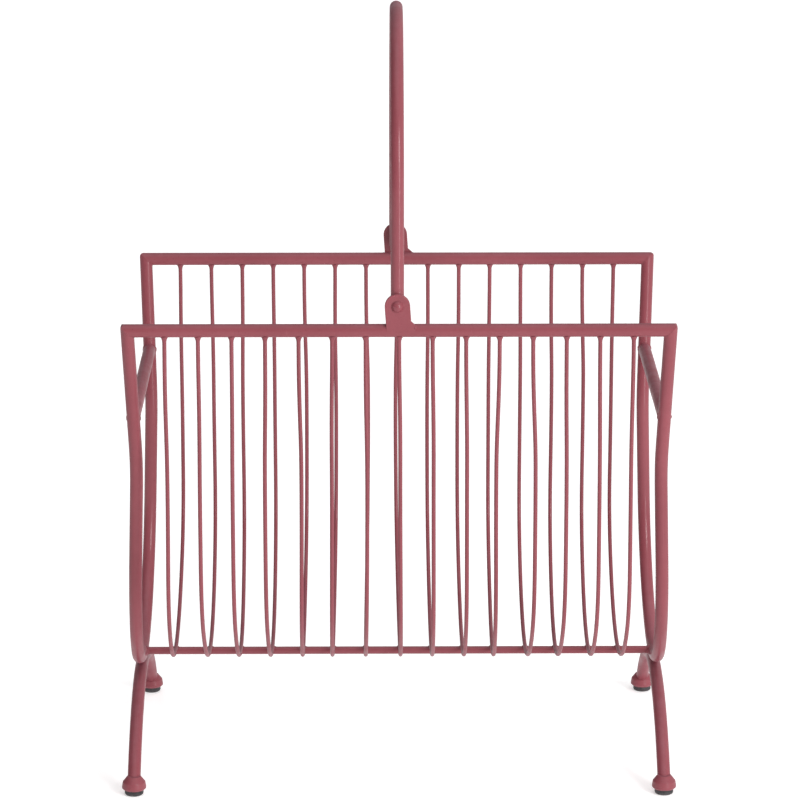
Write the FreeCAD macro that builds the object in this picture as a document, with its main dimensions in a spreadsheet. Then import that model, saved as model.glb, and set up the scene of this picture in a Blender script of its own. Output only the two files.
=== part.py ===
import FreeCAD, Part
import math
import os

import Sketcher
from FreeCAD import Placement, Rotation, Vector

# Magazine rack: two steel tube rails, two side hoops and a row of U-bent wires make a hammock-shaped
# basket. It stands on two tube arches with capped feet, and a carrying handle swings on two rivets.
# Frame: origin on the floor under the middle of the rack, +X along the rails, +Y to the back, +Z up.

DIMENSIONS = {
    # tubes, wires and the bottom bar
    "tube_dia": 10.0, "tube_wall": 1.2, "wire_dia": 3.2, "bar_dia": 6.0,
    # rails and side hoops; the waist is where a hoop's side turns from slanting to upright
    "rail_y": 130.0, "rail_z": 365.0, "hoop_x": 202.6,
    "waist_x": 198.5, "waist_y": 106.0, "waist_z": 255.0, "waist_bend": 150.0,
    "hoop_low_x": 203.2, "hoop_low_z": 75.0, "corner_round": 3.2, "stretcher_z": 294.0,
    # basket wires
    "wire_pitch": 25.0, "belly_y": 138.0, "belly_z": 180.0, "belly_bend": 75.0, "weld_sink": 0.4,
    "flare_height": 4.0, "flare_reach": 1.6, "flare_hollow": 0.25,
    # leg arches and feet
    "arch_z": 65.0, "arch_bend": 176.0, "leg_end_z": 10.5, "foot_y": 128.0,
    "cap_top_z": 14.8, "cap_crown_dia": 10.4, "cap_cone_dia": 17.4, "cap_cone_z": 10.4,
    "cap_rim_dia": 18.6, "cap_low_z": 4.4, "cap_edge": 1.2,
    "pad_dia": 14.4, "pad_stem_dia": 11.0, "pad_stem_top_z": 6.6, "pad_edge": 1.8,
    # handle, its brackets and rivets
    "pivot_x": -1.3, "pivot_rise": 19.0, "handle_top_z": 587.0, "handle_end_drop": 7.5,
    "bracket_width": 19.0, "bracket_thick": 2.5, "bracket_toe": 3.0, "toe_height": 2.6,
    "bracket_edge": 0.5,
    "rivet_dia": 5.0, "rivet_head_dia": 9.0, "rivet_head_height": 3.0,
    "rivet_tail_dia": 7.6, "rivet_tail_height": 1.8, "pivot_clearance": 0.06, "side_gap": 0.3,
}
WIRES_EACH_SIDE = 7

doc = FreeCAD.newDocument("MagazineRack")
sheet = doc.addObject("Spreadsheet::Sheet", "Sizes")
for row, (alias, value) in enumerate(DIMENSIONS.items(), start=1):
    sheet.set(f"A{row}", alias)
    sheet.set(f"B{row}", str(value))
    sheet.setAlias(f"B{row}", alias)
doc.recompute()

# Sizes worked out from the driving ones, written as expressions on the sheet's cells
TUBE_R = "Sizes.tube_dia / 2"
BORE_R = "(Sizes.tube_dia / 2 - Sizes.tube_wall)"
SLOPE = "((Sizes.rail_y - Sizes.waist_y) / (Sizes.rail_z - Sizes.waist_z))"
SLANT = f"atan({SLOPE})"
# each hoop is drawn in at its waist: it tilts inwards up to there, and leans outwards from there up
WAIST_RISE = "(Sizes.waist_z - Sizes.hoop_low_z)"
TILT = f"atan((Sizes.hoop_low_x - Sizes.waist_x) / {WAIST_RISE})"
LEAN = "atan((Sizes.hoop_x - Sizes.waist_x) / (Sizes.rail_z - Sizes.waist_z))"
# where the waist and the rail's axis lie in a hoop's own tilted frame, measured from its lowest point
WAIST_UP = f"({WAIST_RISE} / cos({TILT}))"
CORNER_OUT = (f"((Sizes.rail_z - Sizes.hoop_low_z) * sin({TILT})"
              f" - (Sizes.hoop_low_x - Sizes.hoop_x) * cos({TILT}))")
CORNER_UP = (f"((Sizes.rail_z - Sizes.hoop_low_z) * cos({TILT})"
             f" + (Sizes.hoop_low_x - Sizes.hoop_x) * sin({TILT}))")
SPREAD = f"sqrt((Sizes.rail_y - Sizes.waist_y)^2 + {CORNER_OUT}^2)"
WIRE_LOW_Z = "(Sizes.hoop_low_z + Sizes.bar_dia / 2 + Sizes.wire_dia / 2 - Sizes.weld_sink)"
BELLY_CENTRE_Y = "(Sizes.belly_y - Sizes.belly_bend)"
BELLY_RISE = f"(Sizes.belly_z - {WIRE_LOW_Z})"
# radius of the flat bottom arc that runs smoothly into the two belly bends
WIRE_LOW_BEND = (f"(({BELLY_CENTRE_Y}^2 + {BELLY_RISE}^2 - Sizes.belly_bend^2)"
                 f" / (2 * ({BELLY_RISE} - Sizes.belly_bend)))")
PIVOT_Z = "(Sizes.rail_z + Sizes.pivot_rise)"
HANDLE_Y = "(Sizes.rail_y - Sizes.bracket_thick - Sizes.side_gap)"
RIVET_GRIP = "(Sizes.bracket_thick + Sizes.tube_dia + 2 * Sizes.side_gap)"

parts = []


def size(expression):
    """The number that an expression on the sheet gives, in millimetres or degrees."""
    result = sheet.evalExpression(expression.replace("Sizes.", ""))
    return float(getattr(result, "Value", result))


def point(y_expression, z_expression):
    return Vector(size(y_expression), size(z_expression), 0)


def new_body(label):
    body = doc.addObject("PartDesign::Body", label)
    body.Label = label
    parts.append(body)
    return body


def place(body, x="0", y="0", z="0", axis=None, angle=None):
    """Bind the body's position, and its turn about one axis, to the sheet."""
    if axis is not None:
        body.Placement = Placement(Vector(), Rotation(axis, size(angle)))
        body.setExpression("Placement.Rotation.Angle", angle)
    for name, expression in zip("xyz", (x, y, z)):
        setattr(body.Placement.Base, name, size(expression))
        body.setExpression(f"Placement.Base.{name}", expression)


def new_sketch(body, name, plane):
    """A sketch on one of the body's own origin planes."""
    sketch = body.newObject("Sketcher::SketchObject", name)
    face = next(f for f in body.Origin.OriginFeatures if f.Role == plane)
    sketch.AttachmentSupport = [(face, "")]
    sketch.MapMode = "FlatFace"
    return sketch


def dimension(sketch, kind, *where, to):
    """Add a dimension to a sketch and bind it to an expression on the sheet."""
    index = sketch.addConstraint(Sketcher.Constraint(kind, *where, size(to)))
    sketch.setExpression(f"Constraints[{index}]", to)


def pin_point(sketch, geometry, end, across, up):
    """Hold a sketch point at a place measured from the sketch's origin."""
    dimension(sketch, "DistanceX", -1, 1, geometry, end, to=across)
    dimension(sketch, "DistanceY", -1, 1, geometry, end, to=up)


def add_circle(sketch, across, up, radius):
    circle = sketch.addGeometry(Part.Circle(point(across, up), Vector(0, 0, 1), size(radius)), False)
    pin_point(sketch, circle, 3, across, up)
    dimension(sketch, "Radius", circle, to=radius)


def add_line(sketch, start, end):
    return sketch.addGeometry(Part.LineSegment(start, end), False)


def add_arc(sketch, centre, start, end):
    """An arc about a centre, the short way round from start to end."""
    radius = (start - centre).Length
    middle = centre + ((start + end) * 0.5 - centre).normalize() * radius
    return sketch.addGeometry(Part.Arc(start, middle, end), False)


def nearest_end(sketch, geometry, spot):
    """1 or 2: the end of a line or arc that lies at the given spot."""
    return min((1, 2), key=lambda end: (sketch.getPoint(geometry, end) - spot).Length)


def join(sketch, first, second, spot, kind="Tangent"):
    """Make two pieces of an outline meet at a spot, smoothly unless kind is Coincident."""
    ends = (first, nearest_end(sketch, first, spot), second, nearest_end(sketch, second, spot))
    sketch.addConstraint(Sketcher.Constraint(kind, *ends))


def rounded_path(sketch, corners, bends):
    """A run of straight lines through corners, each corner rounded by a bend radius.

    corners are pairs of expressions. The corner points themselves stay in the sketch and carry its
    dimensions, as they do on a bending drawing. A bend that reaches back to the start takes the
    place of the first line.
    """
    spots = [point(*corner) for corner in corners]
    pieces = []
    cursor = spots[0]
    for index, bend in enumerate(bends, start=1):
        before = (spots[index - 1] - spots[index]).normalize()
        after = (spots[index + 1] - spots[index]).normalize()
        half_turn = (math.pi - before.getAngle(after)) / 2
        reach = size(bend) * math.tan(half_turn)
        start, end = spots[index] + before * reach, spots[index] + after * reach
        centre = spots[index] + (before + after).normalize() * (size(bend) / math.cos(half_turn))
        if (start - cursor).Length > 1e-6:
            pieces.append((add_line(sketch, cursor, start), cursor))
        pieces.append((add_arc(sketch, centre, start, end), start))
        dimension(sketch, "Radius", pieces[-1][0], to=bend)
        cursor = end
    pieces.append((add_line(sketch, cursor, spots[-1]), cursor))
    for (first, _), (second, spot) in zip(pieces, pieces[1:]):
        join(sketch, first, second, spot)
    return [piece for piece, _ in pieces]


def mark_corner(sketch, lines, across, up):
    """A construction point at a corner that a bend has rounded off, on the lines either side."""
    mark = sketch.addGeometry(Part.Point(point(across, up)), True)
    pin_point(sketch, mark, 1, across, up)
    for line in lines:
        sketch.addConstraint(Sketcher.Constraint("PointOnObject", mark, 1, line))


def polygon(sketch, spots, closed=True):
    """Straight lines from spot to spot, each spot a pair of expressions."""
    places = [point(*spot) for spot in spots]
    ends = places[1:] + places[:1] if closed else places[1:]
    lines = [add_line(sketch, start, end) for start, end in zip(places, ends)]
    for index, line in enumerate(lines):
        pin_point(sketch, line, 1, *spots[index])
        if closed or index + 1 < len(lines):
            following = lines[(index + 1) % len(lines)]
            sketch.addConstraint(Sketcher.Constraint("Coincident", line, 2, following, 1))
    if not closed:
        pin_point(sketch, lines[-1], 2, *spots[-1])
    return lines


def pipe(body, name, path, plane, centre, radius, bore=None, height="0", cut=False):
    """Sweep a round section along a path, from a section drawn on a plane that the path starts from."""
    section = new_sketch(body, name + "Section", plane)
    section.AttachmentOffset = Placement(Vector(0, 0, size(height)), Rotation())
    section.setExpression("AttachmentOffset.Base.z", height)
    add_circle(section, *centre, radius)
    if bore:
        add_circle(section, *centre, bore)
    kind = "PartDesign::SubtractivePipe" if cut else "PartDesign::AdditivePipe"
    swept = body.newObject(kind, name)
    swept.Profile = section
    swept.Spine = path
    return swept


def mirror_to_front(body, features):
    """Copy the back half's features to the front half."""
    doc.recompute()
    mirrored = body.newObject("PartDesign::Mirrored", "FrontHalf")
    mirrored.Originals = features
    mirrored.MirrorPlane = (next(f for f in body.Origin.OriginFeatures if f.Role == "XZ_Plane"), [""])
    body.Tip = mirrored
    doc.recompute()
    return mirrored


def cut_through(body, name, sketch):
    """Cut a sketch's outline right through the body, both ways from its plane."""
    doc.recompute()
    before = body.Shape.Volume
    pocket = body.newObject("PartDesign::Pocket", name)
    pocket.Profile = sketch
    pocket.Type = "ThroughAll"
    pocket.Midplane = True
    doc.recompute()
    if body.Shape.Volume >= before - 1e-6:
        raise RuntimeError(f"{body.Label}: {name} cuts nothing")
    return pocket


def revolve(body, sketch, axis):
    turned = body.newObject("PartDesign::Revolution", "Turned")
    turned.Profile = sketch
    turned.ReferenceAxis = (sketch, [axis])
    turned.Angle = 360
    return turned


def mitre_outline(sketch, side, keep_rail):
    """Outline of the waste at a mitred corner, measured from where the two tube axes cross.

    side is +1 or -1 for the rack's right or left end. The rail keeps the part over the diagonal and
    the hoop keeps the part under it. The corner's outer tip is ground round.
    """
    reach = size("3 * Sizes.tube_dia")
    edge, grind = size(TUBE_R), size("Sizes.corner_round")
    centre = edge - grind
    on_diagonal = centre + grind * math.sqrt(0.5)
    along = [(-reach, -reach), (on_diagonal, on_diagonal), (edge, centre), (reach, centre),
             (reach, reach), (-reach, reach)]
    if keep_rail:
        along = [(up, out) for out, up in along]
    spots = [Vector(side * out, up, 0) for out, up in along]
    middle = Vector(side * centre, centre, 0)
    pieces = [add_line(sketch, spots[0], spots[1]), add_arc(sketch, middle, spots[1], spots[2])]
    pieces += [add_line(sketch, a, b) for a, b in zip(spots[2:], spots[3:] + spots[:1])]
    for first, second, spot in zip(pieces, pieces[1:] + pieces[:1], spots[1:] + spots[:1]):
        join(sketch, first, second, spot, "Coincident")
    for piece in pieces:
        sketch.addConstraint(Sketcher.Constraint("Block", piece))


def make_rail(label, back):
    """A straight tube between the side hoops, mitred at both ends.

    It is turned about its axis so that its mitres match the slant of the hoops' sides.
    """
    body = new_body(label)
    section = new_sketch(body, "Section", "YZ_Plane")
    add_circle(section, "0", "0", TUBE_R)
    add_circle(section, "0", "0", BORE_R)
    tube = body.newObject("PartDesign::Pad", "Tube")
    tube.Profile = section
    tube.Midplane = True
    tube.setExpression("Length", "2 * (Sizes.hoop_x + Sizes.tube_dia)")
    for side, end in ((1, "Right"), (-1, "Left")):
        waste = new_sketch(body, end + "Waste", "XZ_Plane")
        waste.AttachmentOffset = Placement(Vector(side * size("Sizes.hoop_x"), 0, 0), Rotation())
        waste.setExpression("AttachmentOffset.Base.x", f"{side} * Sizes.hoop_x")
        mitre_outline(waste, side, keep_rail=True)
        cut_through(body, end + "Mitre", waste)
    place(body, y=f"{back} * Sizes.rail_y", z="Sizes.rail_z", axis=Vector(1, 0, 0),
          angle=f"{-back} * {SLANT}")


def make_hoop(label, side):
    """A tube bent to a U with slanting shoulders: one end of the basket and of the frame.

    It is drawn with its lowest point at the origin and its U upright, and tilted into place. Each
    shoulder bends in a plane of its own, turned outwards about the U's upright side.
    """
    body = new_body(label)
    low_path = new_sketch(body, "LowBendLine", "YZ_Plane")
    low_arc = add_arc(low_path, point("0", "Sizes.waist_y"), point("0", "0"),
                      point("Sizes.waist_y", "Sizes.waist_y"))
    pin_point(low_path, low_arc, 3, "0", "Sizes.waist_y")
    lowest = nearest_end(low_path, low_arc, point("0", "0"))
    pin_point(low_path, low_arc, lowest, "0", "0")
    dimension(low_path, "DistanceY", -1, 1, low_arc, 3 - lowest, to="Sizes.waist_y")
    low = pipe(body, "LowTube", low_path, "XZ_Plane", ("0", "0"), TUBE_R, BORE_R)

    shoulder = new_sketch(body, "ShoulderBendLine", "YZ_Plane")
    turn = f"{-side} * atan({CORNER_OUT} / (Sizes.rail_y - Sizes.waist_y))"
    shoulder.AttachmentOffset = Placement(Vector(size("Sizes.waist_y"), 0, 0),
                                          Rotation(Vector(0, 1, 0), size(turn)))
    shoulder.setExpression("AttachmentOffset.Base.x", "Sizes.waist_y")
    # the tube runs past the rail's axis, and the mitre trims it
    end_up = f"({CORNER_UP} + Sizes.tube_dia)"
    end_out = f"({SPREAD} * (1 + Sizes.tube_dia / ({CORNER_UP} - {WAIST_UP})))"
    corners = [("0", "Sizes.waist_y"), ("0", WAIST_UP), (end_out, end_up)]
    upright, _, slanted = rounded_path(shoulder, corners, ["Sizes.waist_bend"])
    pin_point(shoulder, upright, 1, *corners[0])
    shoulder.addConstraint(Sketcher.Constraint("Vertical", upright))
    mark_corner(shoulder, [slanted], "0", WAIST_UP)
    pin_point(shoulder, slanted, 2, *corners[-1])
    high = pipe(body, "ShoulderTube", shoulder, "XY_Plane", ("0", "Sizes.waist_y"), TUBE_R, BORE_R,
                height="Sizes.waist_y")

    waste = new_sketch(body, "MitreWaste", "XZ_Plane")
    tilt_back = Rotation(Vector(0, 0, 1), -side * size(TILT))
    corner = Vector(side * size(CORNER_OUT), size(CORNER_UP), -size("Sizes.rail_y"))
    waste.AttachmentOffset = Placement(corner, tilt_back * Rotation(Vector(1, 0, 0), -size(SLANT)))
    for name, expression in zip("xyz", (f"{side} * {CORNER_OUT}", CORNER_UP, "-Sizes.rail_y")):
        waste.setExpression(f"AttachmentOffset.Base.{name}", expression)
    mitre_outline(waste, side, keep_rail=False)
    doc.recompute()
    mitre = body.newObject("PartDesign::Pocket", "Mitre")
    mitre.Profile = waste
    mitre.Midplane = True
    mitre.setExpression("Length", "4 * Sizes.tube_dia")
    mirror_to_front(body, [low, high, mitre])
    place(body, x=f"{side} * Sizes.hoop_low_x", z="Sizes.hoop_low_z", axis=Vector(0, 1, 0),
          angle=f"{-side} * {TILT}")


def make_stretcher(label, side):
    """A straight tube across one end, its ends shaped to fit round the hoop's slanting sides."""
    body = new_body(label)
    share = "((Sizes.rail_z - Sizes.stretcher_z) / (Sizes.rail_z - Sizes.waist_z))"
    meet_x = f"(Sizes.hoop_x - {share} * (Sizes.hoop_x - Sizes.waist_x))"
    meet_y = f"(Sizes.rail_y - {share} * (Sizes.rail_y - Sizes.waist_y))"
    section = new_sketch(body, "Section", "XZ_Plane")
    add_circle(section, "0", "0", TUBE_R)
    add_circle(section, "0", "0", BORE_R)
    tube = body.newObject("PartDesign::Pad", "Tube")
    tube.Profile = section
    tube.Midplane = True
    tube.setExpression("Length", f"2 * {meet_y}")
    cope = new_sketch(body, "HoopOutline", "XY_Plane")
    lean = Rotation(Vector(0, 1, 0), side * size(LEAN))
    cope.AttachmentOffset = Placement(Vector(0, size(meet_y), 0),
                                      lean * Rotation(Vector(1, 0, 0), -size(SLANT)))
    cope.setExpression("AttachmentOffset.Base.y", meet_y)
    add_circle(cope, "0", "0", TUBE_R)
    doc.recompute()
    cut = cut_through(body, "BackCope", cope)
    mirror_to_front(body, [cut])
    place(body, x=f"{side} * {meet_x}", z="Sizes.stretcher_z")


def make_bottom_bar():
    """A solid bar between the hoops' lowest points, under the basket wires."""
    body = new_body("bottom_bar")
    section = new_sketch(body, "Section", "YZ_Plane")
    add_circle(section, "0", "0", "Sizes.bar_dia / 2")
    bar = body.newObject("PartDesign::Pad", "Bar")
    bar.Profile = section
    bar.Midplane = True
    bar.setExpression("Length", "2 * Sizes.hoop_low_x")
    ends = new_sketch(body, "HoopOutlines", "XZ_Plane")
    for side in (1, -1):
        add_circle(ends, f"{side} * Sizes.hoop_low_x", "0", TUBE_R)
    cut_through(body, "EndCopes", ends)
    place(body, z="Sizes.hoop_low_z")


def make_wire(label, column):
    """One wire of the basket, welded under both rails and over the bottom bar."""
    body = new_body(label)
    path = new_sketch(body, "BendLine", "YZ_Plane")
    low_centre_z = f"({WIRE_LOW_Z} + {WIRE_LOW_BEND})"
    centre, low_centre = point(BELLY_CENTRE_Y, "Sizes.belly_z"), point("0", low_centre_z)
    top, bottom = point("Sizes.rail_y", "Sizes.rail_z"), point("0", WIRE_LOW_Z)
    radius = size("Sizes.belly_bend")
    # the two bends touch on the line through their centres
    bend_meet = centre + (centre - low_centre).normalize() * radius
    # the straight side touches the belly bend where it is square to the bend's radius
    to_top = top - centre
    turn = math.acos(radius / to_top.Length)
    angle = math.atan2(to_top.y, to_top.x) - turn
    touch = centre + Vector(math.cos(angle), math.sin(angle), 0) * radius
    low = add_arc(path, low_centre, bottom, bend_meet)
    belly = add_arc(path, centre, bend_meet, touch)
    side = add_line(path, touch, top)
    join(path, low, belly, bend_meet)
    join(path, belly, side, touch)
    pin_point(path, low, 3, "0", low_centre_z)
    pin_point(path, low, nearest_end(path, low, bottom), "0", WIRE_LOW_Z)
    pin_point(path, belly, 3, BELLY_CENTRE_Y, "Sizes.belly_z")
    pin_point(path, side, 2, "Sizes.rail_y", "Sizes.rail_z")
    wire = pipe(body, "Wire", path, "XZ_Plane", ("0", WIRE_LOW_Z), "Sizes.wire_dia / 2")
    flare = add_weld_flare(body)
    mirror_to_front(body, [wire, flare])
    seats = new_sketch(body, "SeatOutlines", "YZ_Plane")
    for back in (1, -1):
        add_circle(seats, f"{back} * Sizes.rail_y", "Sizes.rail_z", TUBE_R)
    add_circle(seats, "0", "Sizes.hoop_low_z", "Sizes.bar_dia / 2")
    cut_through(body, "Seats", seats)
    place(body, x=f"{column} * Sizes.wire_pitch")


def add_weld_flare(body):
    """The weld that widens the wire's end where it meets the rail's underside."""
    outline = new_sketch(body, "WeldOutline", "YZ_Plane")
    top_z = "Sizes.rail_z"
    neck_z = f"(Sizes.rail_z - {TUBE_R} - Sizes.flare_height)"
    inner = "Sizes.wire_dia / 2"
    seat_z = f"(Sizes.rail_z - {TUBE_R})"
    outer = "(Sizes.wire_dia / 2 + Sizes.flare_reach)"
    neck, seat = point(inner, neck_z), point(outer, seat_z)
    along = (seat - neck).normalize()
    bulge = (neck + seat) * 0.5 + Vector(-along.y, along.x, 0) * size("Sizes.flare_hollow")
    axis = add_line(outline, point("0", top_z), point("0", neck_z))
    floor = add_line(outline, point("0", neck_z), neck)
    curve = outline.addGeometry(Part.Arc(neck, bulge, seat), False)
    wall = add_line(outline, seat, point(outer, top_z))
    roof = add_line(outline, point(outer, top_z), point("0", top_z))
    pieces = [axis, floor, curve, wall, roof]
    spots = [point("0", neck_z), neck, seat, point(outer, top_z), point("0", top_z)]
    for first, second, spot in zip(pieces, pieces[1:] + pieces[:1], spots):
        join(outline, first, second, spot, "Coincident")
    for piece in pieces:
        outline.addConstraint(Sketcher.Constraint("Block", piece))
    outline.AttachmentOffset = Placement(Vector(size("Sizes.rail_y"), 0, 0), Rotation())
    outline.setExpression("AttachmentOffset.Base.x", "Sizes.rail_y")
    return revolve(body, outline, "V_Axis")


def leg_bend_line(body, start_y):
    """The arc that a leg's axis follows, from the arch's top down into the foot cap."""
    path = new_sketch(body, "BendLine", "YZ_Plane")
    centre_z = "(Sizes.arch_z - Sizes.arch_bend)"
    reach = f"sqrt(Sizes.arch_bend^2 - (Sizes.leg_end_z - {centre_z})^2)"
    arc = add_arc(path, point(start_y, centre_z), point(start_y, "Sizes.arch_z"),
                  point(f"{start_y} + {reach}", "Sizes.leg_end_z"))
    pin_point(path, arc, 3, start_y, centre_z)
    top = nearest_end(path, arc, point(start_y, "Sizes.arch_z"))
    pin_point(path, arc, top, start_y, "Sizes.arch_z")
    dimension(path, "DistanceY", -1, 1, arc, 3 - top, to="Sizes.leg_end_z")
    return path


def make_leg_arch(label, side):
    """A tube bent to a low arch: it carries one hoop on its crown and ends in two feet."""
    body = new_body(label)
    path = leg_bend_line(body, "0")
    tube = pipe(body, "Tube", path, "XZ_Plane", ("0", "Sizes.arch_z"), TUBE_R, BORE_R)
    mirror_to_front(body, [tube])
    place(body, x=f"{side} * Sizes.hoop_low_x")


def make_foot_cap(label, side, back):
    """A bell-shaped steel cap: the leg runs slanting into its side, and the pad's stem up into it.

    It is drawn for a back foot, and turned half round for a front one.
    """
    body = new_body(label)
    outline = new_sketch(body, "Outline", "XZ_Plane")
    rim = "Sizes.cap_rim_dia / 2"
    polygon(outline, [
        ("0", "Sizes.cap_top_z"), ("Sizes.cap_crown_dia / 2", "Sizes.cap_top_z"),
        ("Sizes.cap_cone_dia / 2", "Sizes.cap_cone_z"),
        (rim, "Sizes.cap_low_z + 2 * Sizes.cap_edge"),
        (rim, "Sizes.cap_low_z + Sizes.cap_edge"),
        (f"{rim} - Sizes.cap_edge", "Sizes.cap_low_z"),
        ("Sizes.pad_stem_dia / 2", "Sizes.cap_low_z"),
        ("Sizes.pad_stem_dia / 2", "Sizes.pad_stem_top_z"), ("0", "Sizes.pad_stem_top_z")])
    revolve(body, outline, "V_Axis")
    soften(body, "Sizes.cap_edge", ridge_edge)
    leg_line = leg_bend_line(body, "-Sizes.foot_y")
    pipe(body, "LegHole", leg_line, "XZ_Plane", ("0", "Sizes.arch_z"), TUBE_R,
         height="Sizes.foot_y", cut=True)
    place(body, x=f"{side} * Sizes.hoop_low_x", y=f"{back} * Sizes.foot_y", axis=Vector(0, 0, 1),
          angle="0" if back > 0 else "180")


def ridge_edge(edge):
    """True for the ridges round the foot cap's outside, above its lowest edge."""
    outside = getattr(edge.Curve, "Radius", 0) > size("Sizes.pad_stem_dia / 2") + 1
    height = edge.BoundBox.ZMin
    at_crown = abs(height - size("Sizes.cap_top_z")) < 1e-3
    return at_crown or (outside and height > size("Sizes.cap_low_z + 1.5 * Sizes.cap_edge"))


def soften(body, radius, wanted):
    """Round the body's wanted edges."""
    doc.recompute()
    base = body.Tip
    names = [f"Edge{i}" for i, edge in enumerate(base.Shape.Edges, start=1) if wanted(edge)]
    if not names:
        raise RuntimeError(f"{body.Label}: no edge to round")
    fillet = body.newObject("PartDesign::Fillet", "Rounding")
    fillet.Base = (base, names)
    fillet.Radius = size(radius)
    fillet.setExpression("Radius", radius)
    doc.recompute()


def make_foot_pad(label, side, back):
    """A rubber pad under a foot cap, held by a stem pushed up into it."""
    body = new_body(label)
    outline = new_sketch(body, "Outline", "XZ_Plane")
    polygon(outline, [
        ("0", "0"), ("Sizes.pad_dia / 2", "0"), ("Sizes.pad_dia / 2", "Sizes.cap_low_z"),
        ("Sizes.pad_stem_dia / 2", "Sizes.cap_low_z"),
        ("Sizes.pad_stem_dia / 2", "Sizes.pad_stem_top_z"), ("0", "Sizes.pad_stem_top_z")])
    revolve(body, outline, "V_Axis")
    soften(body, "Sizes.pad_edge", lambda edge: edge.BoundBox.ZMax < 0.01)
    place(body, x=f"{side} * Sizes.hoop_low_x", y=f"{back} * Sizes.foot_y")


def make_bracket(label, back):
    """A round-topped plate that stands on a rail's outer face and holds the handle's rivet.

    It is drawn standing on the rail's axis height, with its outer face on its own XZ plane. It leans
    to the rack's left, which carries the rivet's hole to the pivot line, and has a toe on the right.
    """
    body = new_body(label)
    outline = new_sketch(body, "Outline", "XZ_Plane")
    right = -back
    half, rise = "Sizes.bracket_width / 2", "Sizes.pivot_rise"
    over = f"({right} * Sizes.pivot_x)"
    slant_length = f"sqrt({over}^2 + {rise}^2)"
    foot_half = f"({half} * {slant_length} / {rise})"
    side_z = f"({TUBE_R} + Sizes.toe_height)"
    # where the straight sides run smoothly into the round top
    along, across = f"({half} * {rise} / {slant_length})", f"({half} * {over} / {slant_length})"
    toe_end = (f"({right} * ({foot_half} + Sizes.bracket_toe) + {side_z} * {over} / {rise})")
    toe_side = [(toe_end, "0"), (toe_end, TUBE_R),
                (f"({right} * {foot_half} + {side_z} * {over} / {rise})", side_z),
                (f"({over} + {right} * {along})", f"({rise} - {right} * {across})")]
    plain_side = [(f"({over} - {right} * {along})", f"({rise} + {right} * {across})"),
                  (f"(-{right} * {foot_half})", "0")]
    edges = polygon(outline, plain_side + toe_side, closed=False)
    reach = f"(1 + {half} / {slant_length})"
    top_point = point(f"{over} * {reach}", f"{rise} * {reach}")
    top = outline.addGeometry(Part.Arc(point(*toe_side[-1]), top_point, point(*plain_side[0])), False)
    join(outline, edges[-1], top, point(*toe_side[-1]))
    join(outline, edges[0], top, point(*plain_side[0]), "Coincident")
    plate = body.newObject("PartDesign::Pad", "Plate")
    plate.Profile = outline
    plate.Reversed = True
    plate.setExpression("Length", "Sizes.bracket_thick")
    seat = new_sketch(body, "RailOutline", "YZ_Plane")
    add_circle(seat, TUBE_R, "0", TUBE_R)
    cut_through(body, "RailSeat", seat)
    hole = new_sketch(body, "RivetOutline", "XZ_Plane")
    add_circle(hole, over, rise, "Sizes.rivet_dia / 2")
    cut_through(body, "RivetHole", hole)
    soften(body, "Sizes.bracket_edge", bracket_edge)
    place(body, y=f"{back} * (Sizes.rail_y + {TUBE_R})", z="Sizes.rail_z", axis=Vector(0, 0, 1),
          angle="180" if back > 0 else "0")


def bracket_edge(edge):
    """True for the outer face's edges round the bracket's sides and top."""
    box = edge.BoundBox
    on_outer_face = abs(box.YMin) < 1e-6 and abs(box.YMax) < 1e-6
    middle = (box.ZMin + box.ZMax) / 2
    round_hole = box.XLength < size("Sizes.rivet_dia") + 1 and abs(box.XLength - box.ZLength) < 1e-6
    return on_outer_face and middle > size(f"{TUBE_R} + Sizes.toe_height") and not round_hole


def make_rivet(label, back):
    """A round-headed pin through a bracket and the end of the handle, spread over on the inside."""
    body = new_body(label)
    outline = new_sketch(body, "Outline", "YZ_Plane")
    pin, head, tail = ("Sizes.rivet_dia / 2", "Sizes.rivet_head_dia / 2", "Sizes.rivet_tail_dia / 2")
    tail_end = f"({RIVET_GRIP} + Sizes.rivet_tail_height)"
    spots = [("-Sizes.rivet_head_height", "0"), ("0", head), ("0", pin), (RIVET_GRIP, pin),
             (RIVET_GRIP, tail), (tail_end, "0")]
    places = [point(*spot) for spot in spots]
    pieces = [dome(outline, places[0], places[1])]
    pieces += [add_line(outline, a, b) for a, b in zip(places[1:4], places[2:5])]
    pieces += [dome(outline, places[5], places[4]), add_line(outline, places[5], places[0])]
    for first, second, spot in zip(pieces, pieces[1:] + pieces[:1], places[1:] + places[:1]):
        join(outline, first, second, spot, "Coincident")
    for piece in pieces:
        outline.addConstraint(Sketcher.Constraint("Block", piece))
    revolve(body, outline, "H_Axis")
    place(body, x="Sizes.pivot_x", y=f"{back} * (Sizes.rail_y + {TUBE_R})", z=PIVOT_Z,
          axis=Vector(0, 0, 1), angle="180" if back > 0 else "0")


def dome(sketch, crown, rim):
    """The arc from a dome's crown, on the axis, to its rim."""
    height, radius = rim.x - crown.x, rim.y
    sphere = (radius ** 2 + height ** 2) / (2 * abs(height))
    centre = Vector(crown.x + math.copysign(sphere, height), 0, 0)
    return add_arc(sketch, centre, crown, rim)


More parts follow.
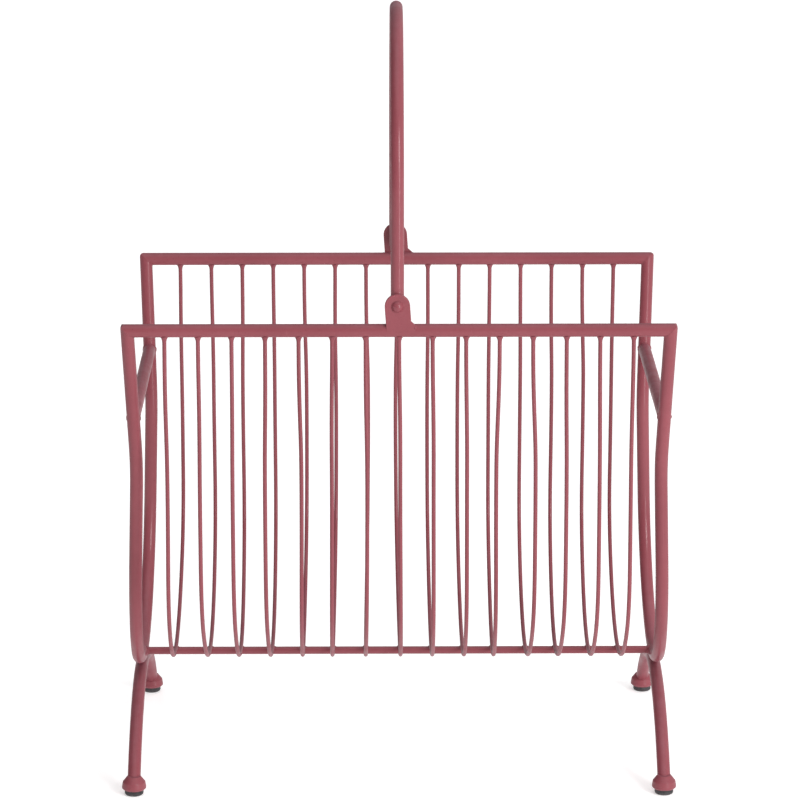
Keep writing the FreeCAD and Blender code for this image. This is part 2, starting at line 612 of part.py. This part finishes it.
def make_handle():
    """The carrying handle: a tube bent to a tall arch, its two ends bored for the rivets."""
    body = new_body("handle")
    path = new_sketch(body, "BendLine", "YZ_Plane")
    end_z = f"({PIVOT_Z} - Sizes.handle_end_drop)"
    corners = [("0", "Sizes.handle_top_z"), (HANDLE_Y, "Sizes.handle_top_z"), (HANDLE_Y, end_z)]
    arch, leg = rounded_path(path, corners, [HANDLE_Y])
    pin_point(path, arch, 3, "0", f"(Sizes.handle_top_z - {HANDLE_Y})")
    crown_end = nearest_end(path, arch, point("0", "Sizes.handle_top_z"))
    dimension(path, "DistanceX", -1, 1, arch, crown_end, to="0")
    path.addConstraint(Sketcher.Constraint("Vertical", leg))
    dimension(path, "DistanceY", -1, 1, leg, 2, to=end_z)
    tube = pipe(body, "Tube", path, "XZ_Plane", ("0", "Sizes.handle_top_z"), TUBE_R, BORE_R)
    mirror_to_front(body, [tube])
    hole = new_sketch(body, "PivotOutline", "XZ_Plane")
    add_circle(hole, "0", PIVOT_Z, "(Sizes.rivet_dia / 2 + Sizes.pivot_clearance)")
    cut_through(body, "PivotHoles", hole)
    place(body, x="Sizes.pivot_x")


def check(body):
    """Stop if any feature of a part failed or its solid is not sound."""
    for item in [body] + body.Group:
        if {"Invalid", "Error"} & set(item.State):
            raise RuntimeError(f"{body.Label}: {item.Label} is {item.State}")
    if body.Shape.isNull() or not body.Shape.isValid():
        raise RuntimeError(f"{body.Label}: shape is not valid")
    if len(body.Shape.Solids) != 1:
        raise RuntimeError(f"{body.Label}: {len(body.Shape.Solids)} solids")


make_rail("front_rail", -1)
make_rail("back_rail", 1)
for side, word in ((-1, "left"), (1, "right")):
    make_hoop(f"{word}_hoop", side)
    make_stretcher(f"{word}_stretcher", side)
    make_leg_arch(f"{word}_leg_arch", side)
    for back, place_word in ((-1, "front"), (1, "back")):
        make_foot_cap(f"{place_word}_{word}_foot_cap", side, back)
        make_foot_pad(f"{place_word}_{word}_foot_pad", side, back)
make_bottom_bar()
for number, column in enumerate(range(-WIRES_EACH_SIDE, WIRES_EACH_SIDE + 1), start=1):
    make_wire(f"basket_wire_{number:02d}", column)
for back, place_word in ((-1, "front"), (1, "back")):
    make_bracket(f"{place_word}_handle_bracket", back)
    make_rivet(f"{place_word}_rivet", back)
make_handle()

doc.recompute()
os.makedirs("parts", exist_ok=True)
for body in parts:
    check(body)
    body.Shape.exportStep(f"parts/{body.Label}.step")
print(len(parts), "parts written")
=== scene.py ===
"""Magazine rack: powder coat, weld beads, hand-bent wires, studio floor, light and camera."""

import math
import random

import bpy
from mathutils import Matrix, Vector


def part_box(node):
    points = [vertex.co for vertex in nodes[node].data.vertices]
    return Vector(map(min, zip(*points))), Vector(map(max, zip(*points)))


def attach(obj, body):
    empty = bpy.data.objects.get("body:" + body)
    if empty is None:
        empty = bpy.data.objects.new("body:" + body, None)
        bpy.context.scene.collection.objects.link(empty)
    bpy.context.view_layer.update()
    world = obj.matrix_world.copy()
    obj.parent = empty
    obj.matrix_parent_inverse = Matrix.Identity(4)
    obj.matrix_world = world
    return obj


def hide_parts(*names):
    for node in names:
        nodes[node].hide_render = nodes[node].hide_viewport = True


# sizes of the CAD model, in metres
TUBE_R = 0.005
WIRE_R = 0.0016
BAR_R = 0.003
FLARE_R = 0.0032
FLARE_HEIGHT = 0.004
RAIL_Y, RAIL_Z = 0.130, 0.365
HOOP_X, HOOP_LOW_X, HOOP_LOW_Z = 0.2026, 0.2032, 0.075
WAIST = Vector((0.1985, 0.106, 0.255))
STRETCHER_Z = 0.294
WIRE_PITCH, WIRES_EACH_SIDE = 0.025, 7
WIRE_LOW_Z = 0.0792
BELLY_Y, BELLY_Z, BELLY_BEND = 0.138, 0.180, 0.075
CONTACT_Z = 0.070

# the drawn wires, in metres: how far they bow, and where the bow begins below the rail's axis
WIRE_SEED = 41
WIRE_SIDES = 20
WIRE_BOW = 0.0011
BOW_CENTRE_Z = 0.29
STRAIGHT_TOP = 0.012
BOW_EASE = 0.09
SEAT_DEPTH = 0.0006
LOW_STEPS, BELLY_STEPS, STRAIGHT_STEPS, FLARE_STEPS = 16, 34, 20, 8
FLARE_CURVE = 2.2

# weld beads, in metres unless a name says otherwise
BEAD_SIDES = 12
BEAD_SEED = 100
RIPPLE_LENGTH, RIPPLE_SIZE = 0.00055, 0.10
LUMP_LENGTH, LUMP_SIZE = 0.0021, 0.12
TACK_HALF, TACK_WAVER, TACK_DROP = 0.0026, 0.0002, 0.0014
TACK_SPOTS = (-1, -0.7, -0.35, 0, 0.35, 0.7, 1)
TACK_RADII = (0.0003, 0.0009, 0.0012, 0.0012, 0.0012, 0.0009, 0.0003)
MITRE_BEAD, MITRE_SINK, MITRE_DEGREES = 0.0006, 0.00022, 118
STRETCHER_BEAD, STRETCHER_SINK = 0.00085, 0.0002
BAR_BEAD = 0.0010
ARCH_BEAD, ARCH_BEAD_SIDE, ARCH_BEAD_HALF, ARCH_STEPS = 0.0012, 0.0019, 0.0105, 40
BASE_BEAD, BASE_INSET, BASE_IN, BASE_LIFT, BASE_STEPS = 0.0010, 0.0006, 0.0014, 0.0008, 60
TOE_STEP_DEGREES = 2
TOE_BEADS = {"left": (32, 62, 0.0007), "right": (30, 74, 0.0013)}  # degrees from, to, and radius

RAMP_ENDS = (0.32, 0.68)
# lilac grey laid on upward faces: partly dust, partly a painted reflection of the bright sky above
DUST_AND_SKY_REFLECTION = (0.42, 0.30, 0.36)
SCUFF = (0.11, 0.10, 0.10)
FLOOR_DUST = (0.16, 0.14, 0.14)
FLOOR_WHITE, FLOOR_GLOW = 0.90, 0.46

# the camera: its place in metres, its pitch below level and its turn to the right in degrees
CAMERA_SPOT = (-0.02, -3.035, 1.030)
CAMERA_PITCH, CAMERA_TURN = 13.89, 0.407
CAMERA_LENS, CAMERA_SENSOR = 180, 36

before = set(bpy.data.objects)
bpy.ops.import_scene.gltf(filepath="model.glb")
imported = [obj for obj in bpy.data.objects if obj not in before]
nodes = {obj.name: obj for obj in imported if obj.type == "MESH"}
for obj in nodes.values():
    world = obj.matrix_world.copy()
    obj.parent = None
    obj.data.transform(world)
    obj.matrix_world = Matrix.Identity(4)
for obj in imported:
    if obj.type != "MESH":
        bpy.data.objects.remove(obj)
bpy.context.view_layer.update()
scene = bpy.context.scene


# ---------------------------------------------------------------- materials

class Shading:
    """A new material's node tree, with short calls for the nodes used here."""

    def __init__(self, name):
        self.material = bpy.data.materials.new(name)
        self.material.use_nodes = True
        self.tree = self.material.node_tree
        self.tree.nodes.clear()
        output = self.add("ShaderNodeOutputMaterial")
        self.shader = self.add("ShaderNodeBsdfPrincipled")
        self.link(self.shader.outputs["BSDF"], output.inputs["Surface"])
        self.coords = self.add("ShaderNodeTexCoord").outputs["Object"]

    def add(self, kind):
        return self.tree.nodes.new(kind)

    def link(self, source, target):
        self.tree.links.new(source, target)

    def noise(self, scale, detail=2.0, roughness=0.5):
        node = self.add("ShaderNodeTexNoise")
        node.inputs["Scale"].default_value = scale
        node.inputs["Detail"].default_value = detail
        node.inputs["Roughness"].default_value = roughness
        self.link(self.coords, node.inputs["Vector"])
        return node.outputs["Fac"]

    def spread(self, value, low, high, to_low, to_high):
        """Map a value's range to another, held at both ends."""
        node = self.add("ShaderNodeMapRange")
        for socket, number in zip(("From Min", "From Max", "To Min", "To Max"),
                                  (low, high, to_low, to_high)):
            node.inputs[socket].default_value = number
        self.link(value, node.inputs["Value"])
        return node.outputs["Result"]

    def times(self, first, second):
        node = self.add("ShaderNodeMath")
        node.operation = "MULTIPLY"
        self.link(first, node.inputs[0])
        self.link(second, node.inputs[1])
        return node.outputs["Value"]

    def colour_between(self, value, low, high):
        node = self.add("ShaderNodeValToRGB")
        ends = zip(node.color_ramp.elements, RAMP_ENDS, (low, high))
        for element, position, colour in ends:
            element.position = position
            element.color = (*colour, 1)
        self.link(value, node.inputs["Fac"])
        return node.outputs["Color"]

    def over(self, below, colour, amount):
        """Lay a colour over another by an amount."""
        node = self.add("ShaderNodeMix")
        node.data_type = "RGBA"
        self.link(below, node.inputs[6])
        node.inputs[7].default_value = (*colour, 1)
        self.link(amount, node.inputs[0])
        return node.outputs[2]

    def facing_up(self, side=0.55, top=0.98):
        """1 where the surface faces up, falling to 0 on its sides."""
        axes = self.add("ShaderNodeSeparateXYZ")
        geometry = self.add("ShaderNodeNewGeometry")
        self.link(geometry.outputs["Normal"], axes.inputs["Vector"])
        return self.spread(axes.outputs["Z"], side, top, 0.0, 1.0)

    def bumps(self, layers):
        """Chain bumps of (height value, strength, distance in metres) into the shader's normal."""
        normal = None
        for height, strength, distance in layers:
            node = self.add("ShaderNodeBump")
            node.inputs["Strength"].default_value = strength
            node.inputs["Distance"].default_value = distance
            self.link(height, node.inputs["Height"])
            if normal:
                self.link(normal, node.inputs["Normal"])
            normal = node.outputs["Normal"]
        self.link(normal, self.shader.inputs["Normal"])

    def set(self, **constants):
        for name, value in constants.items():
            self.shader.inputs[name.replace("_", " ")].default_value = value


def scaled(colour, *factors):
    return tuple(c * f for c, f in zip(colour, factors))


def paint_material(name, colour, roughness=0.40, wear=0.5):
    """Powder coat: an uneven tint, orange peel, nibs, dust with a painted lilac sky reflection on
    what faces up, and rubbed spots.
    """
    look = Shading(name)
    tint = look.colour_between(look.noise(11.0, 3.0), scaled(colour, 0.90, 0.86, 0.87),
                               scaled(colour, 1.07, 1.10, 1.10))
    mottle = look.spread(look.noise(160.0, 3.0, 0.6), 0.35, 0.70, 0.0, 0.22)
    tint = look.over(tint, scaled(colour, 0.80, 0.72, 0.76), mottle)
    nibs = look.spread(look.noise(1500.0, 1.0), 0.71, 0.78, 0.0, 0.5)
    tint = look.over(tint, scaled(colour, 1.35, 1.9, 1.9), nibs)
    pits = look.spread(look.noise(820.0, 1.0), 0.28, 0.22, 0.0, 0.55)
    tint = look.over(tint, scaled(colour, 0.55, 0.45, 0.5), pits)
    # dust and a painted lilac sky reflection, on what faces up and broken by noise
    dust_and_sky_reflection = look.times(look.facing_up(),
                      look.spread(look.noise(90.0, 4.0, 0.65), 0.3, 0.75, 0.02, 0.13))
    tint = look.over(tint, DUST_AND_SKY_REFLECTION, dust_and_sky_reflection)
    rubbed = look.spread(look.noise(46.0, 5.0, 0.7), 0.66, 0.74, 0.0, wear)
    tint = look.over(tint, scaled(colour, 1.22, 1.7, 1.6), rubbed)
    look.link(tint, look.shader.inputs["Base Color"])
    gloss = look.spread(look.noise(70.0, 4.0, 0.6), 0.3, 0.7,
                        roughness - 0.07, roughness + 0.09)
    look.link(gloss, look.shader.inputs["Roughness"])
    look.bumps([(look.noise(520.0, 2.0), 0.30, 0.0003),
                (look.noise(1700.0, 2.0), 0.22, 0.00012),
                (look.noise(60.0, 2.0), 0.15, 0.0004)])
    # the clear gloss fades towards the rims, which stay dark
    rim = look.add("ShaderNodeLayerWeight")
    rim.inputs["Blend"].default_value = 0.5
    look.link(look.spread(rim.outputs["Facing"], 0.35, 0.75, 0.36, 0.0),
              look.shader.inputs["Coat Weight"])
    look.set(IOR=1.33, Specular_IOR_Level=0.30, Coat_Roughness=0.14, Coat_IOR=1.45,
             Sheen_Weight=0.03, Sheen_Roughness=0.4, Sheen_Tint=(0.80, 0.74, 1.0, 1))
    return look.material


def rubber_material(name):
    """Moulded rubber: a fine grain, grey scuffs and floor dust near the bottom edge."""
    look = Shading(name)
    tint = look.colour_between(look.noise(120.0, 4.0, 0.6), (0.014, 0.013, 0.015),
                               (0.040, 0.036, 0.040))
    scuffs = look.spread(look.noise(420.0, 4.0, 0.7), 0.58, 0.70, 0.0, 0.5)
    tint = look.over(tint, SCUFF, scuffs)
    height = look.add("ShaderNodeSeparateXYZ")
    look.link(look.coords, height.inputs["Vector"])
    low = look.spread(height.outputs["Z"], 0.0025, 0.0, 0.0, 1.0)
    tint = look.over(tint, FLOOR_DUST,
                     look.times(low, look.spread(look.noise(260.0, 4.0), 0.35, 0.7, 0.1, 0.6)))
    look.link(tint, look.shader.inputs["Base Color"])
    look.link(look.spread(look.noise(300.0, 3.0), 0.3, 0.7, 0.48, 0.74),
              look.shader.inputs["Roughness"])
    look.bumps([(look.noise(1300.0, 3.0), 0.35, 0.0002),
                (look.noise(260.0, 2.0), 0.2, 0.0003)])
    look.set(IOR=1.5)
    return look.material


PAINT = (0.255, 0.061, 0.076)
frame_paint = paint_material("rose_powder_coat", PAINT)
wire_paint = paint_material("rose_powder_coat_on_wire", scaled(PAINT, 0.98, 0.97, 0.98),
                            roughness=0.42, wear=0.35)
handle_paint = paint_material("rose_powder_coat_on_handle", scaled(PAINT, 1.02, 1.03, 1.03),
                              roughness=0.36, wear=0.7)
rivet_paint = paint_material("rose_powder_coat_on_rivet", scaled(PAINT, 0.97, 0.95, 0.96),
                             roughness=0.34, wear=0.8)
weld_paint = paint_material("rose_powder_coat_on_weld", scaled(PAINT, 0.95, 0.92, 0.93),
                            roughness=0.38, wear=0.6)
rubber = rubber_material("black_rubber")


def finish_of(name):
    """The material of a CAD node, by its name."""
    if name.endswith("pad"):
        return rubber
    if name.startswith("basket_wire"):
        return wire_paint
    if name == "handle":
        return handle_paint
    if name.endswith("rivet"):
        return rivet_paint
    return frame_paint


for name, node in nodes.items():
    node.data.materials.clear()
    node.data.materials.append(finish_of(name))


# ---------------------------------------------------------------- swept pieces

def sweep(name, path, radii, sides, closed=False):
    """A smooth round form along a path, with a radius for each point; open ends are flat."""
    count = len(path)
    tangents = []
    for i in range(count):
        ahead = path[(i + 1) % count] if closed or i + 1 < count else path[i]
        behind = path[i - 1] if closed or i else path[i]
        tangents.append((ahead - behind).normalized())
    across = tangents[0].orthogonal().normalized()
    vertices, faces = [], []
    for spot, tangent, radius in zip(path, tangents, radii):
        across = (across - tangent * across.dot(tangent)).normalized()
        up = tangent.cross(across)
        for k in range(sides):
            turn = 2 * math.pi * k / sides
            vertices.append(spot + (across * math.cos(turn) + up * math.sin(turn)) * radius)
    for i in range(count if closed else count - 1):
        here, following = i * sides, (i + 1) % count * sides
        shift = 0
        if closed and i == count - 1:
            first = vertices[here]
            shift = min(range(sides), key=lambda k: (vertices[k] - first).length)
        for k in range(sides):
            after = (k + 1) % sides
            faces.append((here + k, here + after, following + (after + shift) % sides,
                          following + (k + shift) % sides))
    if not closed:
        faces.append(tuple(range(sides))[::-1])
        faces.append(tuple(range((count - 1) * sides, count * sides)))
    mesh = bpy.data.meshes.new(name)
    mesh.from_pydata([tuple(v) for v in vertices], [], faces)
    mesh.polygons.foreach_set("use_smooth", [len(f) == 4 for f in faces])
    mesh.update()
    piece = bpy.data.objects.new(name, mesh)
    scene.collection.objects.link(piece)
    return piece


def finish_piece(piece, material):
    """Give a swept piece its material and let it ride on the frame."""
    piece.data.materials.append(material)
    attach(piece, "frame")


# ---------------------------------------------------------------- basket wires

def wire_half():
    """The bend line of a wire's back half, as (y, z) from its lowest point up to the rail."""
    centre_y = BELLY_Y - BELLY_BEND
    rise = BELLY_Z - WIRE_LOW_Z
    low_bend = (centre_y ** 2 + rise ** 2 - BELLY_BEND ** 2) / (2 * (rise - BELLY_BEND))
    low_centre = Vector((0, WIRE_LOW_Z + low_bend))
    centre, top = Vector((centre_y, BELLY_Z)), Vector((RAIL_Y, RAIL_Z))
    meet = centre + (centre - low_centre).normalized() * BELLY_BEND
    to_top = top - centre
    touch_angle = math.atan2(to_top.y, to_top.x) - math.acos(BELLY_BEND / to_top.length)
    meet_angle = math.atan2(meet.y - centre.y, meet.x - centre.x)
    low_angle = math.atan2(meet.y - low_centre.y, meet.x - low_centre.x)
    touch = centre + Vector((math.cos(touch_angle), math.sin(touch_angle))) * BELLY_BEND
    spots = []
    for i in range(LOW_STEPS):
        turn = -math.pi / 2 + (low_angle + math.pi / 2) * i / LOW_STEPS
        spots.append(low_centre + Vector((math.cos(turn), math.sin(turn))) * low_bend)
    for i in range(BELLY_STEPS):
        turn = meet_angle + (touch_angle - meet_angle) * i / BELLY_STEPS
        spots.append(centre + Vector((math.cos(turn), math.sin(turn))) * BELLY_BEND)
    seat = touch.lerp(top, 1 - (TUBE_R - SEAT_DEPTH) / (top - touch).length)
    flare = touch.lerp(top, 1 - (TUBE_R + FLARE_HEIGHT) / (top - touch).length)
    spots += [touch.lerp(flare, i / STRAIGHT_STEPS) for i in range(STRAIGHT_STEPS)]
    spots += [flare.lerp(seat, i / FLARE_STEPS) for i in range(FLARE_STEPS + 1)]
    return spots


def make_wires():
    """Each wire follows the CAD wire's bend, with the small sideways bows of wire bent by hand."""
    chance = random.Random(WIRE_SEED)
    half = wire_half()
    flare_start = len(half) - FLARE_STEPS - 1
    line = [(-y, z, i) for i, (y, z) in reversed(list(enumerate(half)))]
    line += [(y, z, i) for i, (y, z) in enumerate(half)][1:]
    for number in range(2 * WIRES_EACH_SIDE + 1):
        x = (number - WIRES_EACH_SIDE) * WIRE_PITCH
        bows = [chance.uniform(-WIRE_BOW, WIRE_BOW) for _ in range(3)]
        path, radii = [], []
        for y, z, i in line:
            along = math.atan2(y, BOW_CENTRE_Z - z)
            ease = max(0.0, min(1.0, (RAIL_Z - STRAIGHT_TOP - z) / BOW_EASE))
            ease = ease * ease * (3 - 2 * ease)
            sway = (bows[0] + bows[1] * math.sin(along * 1.4)
                    + bows[2] * math.cos(along * 2.6)) * ease
            path.append(Vector((x + sway, y, z)))
            step = max(0, i - flare_start) / FLARE_STEPS
            radii.append(WIRE_R + (FLARE_R - WIRE_R) * step ** FLARE_CURVE)
        wire = sweep(f"wire_{number + 1:02d}", path, radii, WIRE_SIDES)
        finish_piece(wire, wire_paint)
        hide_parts(f"basket_wire_{number + 1:02d}")
        spot = path[len(path) // 2]
        tack = [spot + Vector((TACK_HALF * t, TACK_WAVER * math.sin(9 * t), -TACK_DROP))
                for t in TACK_SPOTS]
        finish_piece(sweep(f"wire_tack_{number + 1:02d}", tack, TACK_RADII, BEAD_SIDES),
                     weld_paint)


# ---------------------------------------------------------------- weld beads

def bead(name, path, radius, closed, seed):
    """A weld bead: its ripples and lumps come from where the torch paused."""
    chance = random.Random(seed)
    phase = chance.uniform(0, 6.28)
    travelled, radii = 0.0, []
    for i, spot in enumerate(path):
        if i:
            travelled += (spot - path[i - 1]).length
        ripple = RIPPLE_SIZE * math.sin(travelled / RIPPLE_LENGTH + phase)
        lump = LUMP_SIZE * math.sin(travelled / LUMP_LENGTH + 2 * phase)
        from_end = min(i, len(path) - 1 - i)
        ends = 1.0 if closed else min(1.0, 0.25 + 4.0 * from_end / len(path))
        radii.append(radius * (1 + ripple + lump) * ends)
    finish_piece(sweep(name, path, radii, BEAD_SIDES, closed), weld_paint)


def saddle(centre, along, radius, tube_axis, tube_radius, steps=72):
    """Where a bar that leaves a tube's centre meets the tube's surface: a closed ring of points."""
    along, tube_axis = along.normalized(), tube_axis.normalized()
    first = tube_axis.cross(along).normalized()
    second = along.cross(first)
    ring = []
    for k in range(steps):
        turn = 2 * math.pi * k / steps
        out = (first * math.cos(turn) + second * math.sin(turn)) * radius
        flat_out = out - tube_axis * out.dot(tube_axis)
        flat_along = along - tube_axis * along.dot(tube_axis)
        a, b = flat_along.dot(flat_along), 2 * flat_out.dot(flat_along)
        c = flat_out.dot(flat_out) - tube_radius ** 2
        reach = (-b + math.sqrt(max(0.0, b * b - 4 * a * c))) / (2 * a)
        ring.append(centre + out + along * reach)
    return ring


def mitre_seam(corner, rail_way, hoop_way, steps=60):
    """The seam of a mitred corner, open at the corner's outer tip."""
    normal = (rail_way - hoop_way).normalized()
    inner = (hoop_way - rail_way * hoop_way.dot(rail_way)).normalized()
    side = rail_way.cross(inner)
    seam = []
    for k in range(steps + 1):
        turn = math.radians(-MITRE_DEGREES + 2 * MITRE_DEGREES * k / steps)
        out = (inner * math.cos(turn) + side * math.sin(turn)) * (TUBE_R - MITRE_SINK)
        seam.append(corner + out - rail_way * (out.dot(normal) / rail_way.dot(normal)))
    return seam


def make_welds():
    """The beads at the mitres, stretchers, bar, leg arches and handle brackets."""
    ends = {"left": -1, "right": 1}
    sides = {"front": -1, "back": 1}
    seed = BEAD_SEED
    for end, s in ends.items():
        for face, b in sides.items():
            corner = Vector((s * HOOP_X, b * RAIL_Y, RAIL_Z))
            waist = Vector((s * WAIST.x, b * WAIST.y, WAIST.z))
            down = (waist - corner).normalized()
            seam = mitre_seam(corner, Vector((-s, 0, 0)), down)
            bead(f"{face}_{end}_mitre_weld", seam, MITRE_BEAD, False, seed)
            meet = corner + down * ((RAIL_Z - STRETCHER_Z) / -down.z)
            collar = saddle(meet, Vector((0, -b, 0)), TUBE_R - STRETCHER_SINK, down, TUBE_R)
            bead(f"{face}_{end}_stretcher_weld", collar, STRETCHER_BEAD, True, seed + 1)
            seed += 2
        low = Vector((s * HOOP_LOW_X, 0, HOOP_LOW_Z))
        ring = saddle(low, Vector((-s, 0, 0)), BAR_R, Vector((0, 1, 0)), TUBE_R)
        bead(f"{end}_bar_weld", ring, BAR_BEAD, True, seed)
        for face, x in (("inner", -s * ARCH_BEAD_SIDE), ("outer", s * ARCH_BEAD_SIDE)):
            run = [Vector((low.x + x, -ARCH_BEAD_HALF + 2 * ARCH_BEAD_HALF * i / ARCH_STEPS,
                           CONTACT_Z)) for i in range(ARCH_STEPS + 1)]
            bead(f"{end}_{face}_arch_weld", run, ARCH_BEAD, False, seed + 1)
            seed += 1
        seed += 2
    for face, b in sides.items():
        low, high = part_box(f"{face}_handle_bracket")
        y = (low.y + high.y) / 2
        drop = math.sqrt(TUBE_R ** 2 - (abs(y) - RAIL_Y) ** 2)
        span = high.x - low.x - 2 * BASE_INSET
        run = [Vector((low.x + BASE_INSET + span * i / BASE_STEPS, b * (abs(y) - BASE_IN),
                       RAIL_Z + drop + BASE_LIFT)) for i in range(BASE_STEPS + 1)]
        bead(f"{face}_bracket_inner_weld", run, BASE_BEAD, False, seed)
        for end, x in (("left", low.x), ("right", high.x)):
            first, last, size = TOE_BEADS[end]
            toe = [Vector((x, b * (RAIL_Y + TUBE_R * math.sin(math.radians(a))),
                           RAIL_Z + TUBE_R * math.cos(math.radians(a))))
                   for a in range(first, last, TOE_STEP_DEGREES)]
            bead(f"{face}_{end}_toe_weld", toe, size, False, seed + 1)
            seed += 1
        seed += 2


make_wires()
make_welds()


# ---------------------------------------------------------------- camera, floor and light

def make_camera():
    data = bpy.data.cameras.new("camera")
    data.lens, data.sensor_width, data.clip_end = CAMERA_LENS, CAMERA_SENSOR, 20
    camera = bpy.data.objects.new("camera", data)
    scene.collection.objects.link(camera)
    camera.location = CAMERA_SPOT
    camera.rotation_euler = (math.radians(90 - CAMERA_PITCH), 0, math.radians(-CAMERA_TURN))
    scene.camera = camera


def make_floor(reach=6):
    """A pale floor that glows slightly, so that the background comes out white."""
    mesh = bpy.data.meshes.new("floor")
    corners = [(-reach, -reach, 0), (reach, -reach, 0), (reach, reach, 0), (-reach, reach, 0)]
    mesh.from_pydata(corners, [], [(0, 1, 2, 3)])
    floor = bpy.data.objects.new("floor", mesh)
    scene.collection.objects.link(floor)
    look = Shading("floor_white")
    look.set(Base_Color=(FLOOR_WHITE, FLOOR_WHITE, FLOOR_WHITE, 1), Roughness=0.95,
             Emission_Color=(1, 1, 1, 1), Emission_Strength=FLOOR_GLOW)
    mesh.materials.append(look.material)


def make_sun(name, azimuth, elevation, spread, strength, colour=(1, 1, 1)):
    """A broad soft light from a direction: azimuth 0 is the camera's side, and 90 the right."""
    data = bpy.data.lights.new(name, "SUN")
    data.energy, data.angle, data.color = strength, math.radians(spread), colour
    lamp = bpy.data.objects.new(name, data)
    scene.collection.objects.link(lamp)
    turn, rise = math.radians(azimuth), math.radians(elevation)
    way = Vector((math.sin(turn) * math.cos(rise), -math.cos(turn) * math.cos(rise),
                  math.sin(rise)))
    lamp.location = way * 3
    lamp.rotation_euler = way.to_track_quat("Z", "Y").to_euler()


def make_strip(name, azimuth, distance, width, height, power):
    """A tall narrow softbox that stands on the floor and lays a highlight along upright tubes."""
    data = bpy.data.lights.new(name, "AREA")
    data.shape, data.size, data.size_y, data.energy = "RECTANGLE", width, height, power
    lamp = bpy.data.objects.new(name, data)
    scene.collection.objects.link(lamp)
    turn = math.radians(azimuth)
    lamp.location = (distance * math.sin(turn), -distance * math.cos(turn), height / 2 + 0.02)
    lamp.rotation_euler = (math.radians(90), 0, turn)


def make_world(left, right):
    """A white studio, dimmer on the left than on the right."""
    world = bpy.data.worlds.new("studio")
    scene.world = world
    world.use_nodes = True
    tree = world.node_tree
    coords = tree.nodes.new("ShaderNodeTexCoord")
    axes = tree.nodes.new("ShaderNodeSeparateXYZ")
    fade = tree.nodes.new("ShaderNodeMapRange")
    tree.links.new(coords.outputs["Generated"], axes.inputs["Vector"])
    tree.links.new(axes.outputs["X"], fade.inputs["Value"])
    for socket, number in zip(("From Min", "From Max", "To Min", "To Max"),
                              (-0.8, 0.8, left, right)):
        fade.inputs[socket].default_value = number
    background = tree.nodes["Background"]
    background.inputs["Color"].default_value = (1, 1, 1, 1)
    tree.links.new(fade.outputs["Result"], background.inputs["Strength"])


make_camera()
make_floor()
make_world(left=0.18, right=0.72)
make_sun("key", azimuth=36, elevation=24, spread=22, strength=1.0, colour=(1, 0.985, 0.965))
make_strip("strip", azimuth=36, distance=1.8, width=0.20, height=1.5, power=13)
make_sun("top", azimuth=10, elevation=78, spread=60, strength=0.55)
scene.view_settings.view_transform = "Standard"
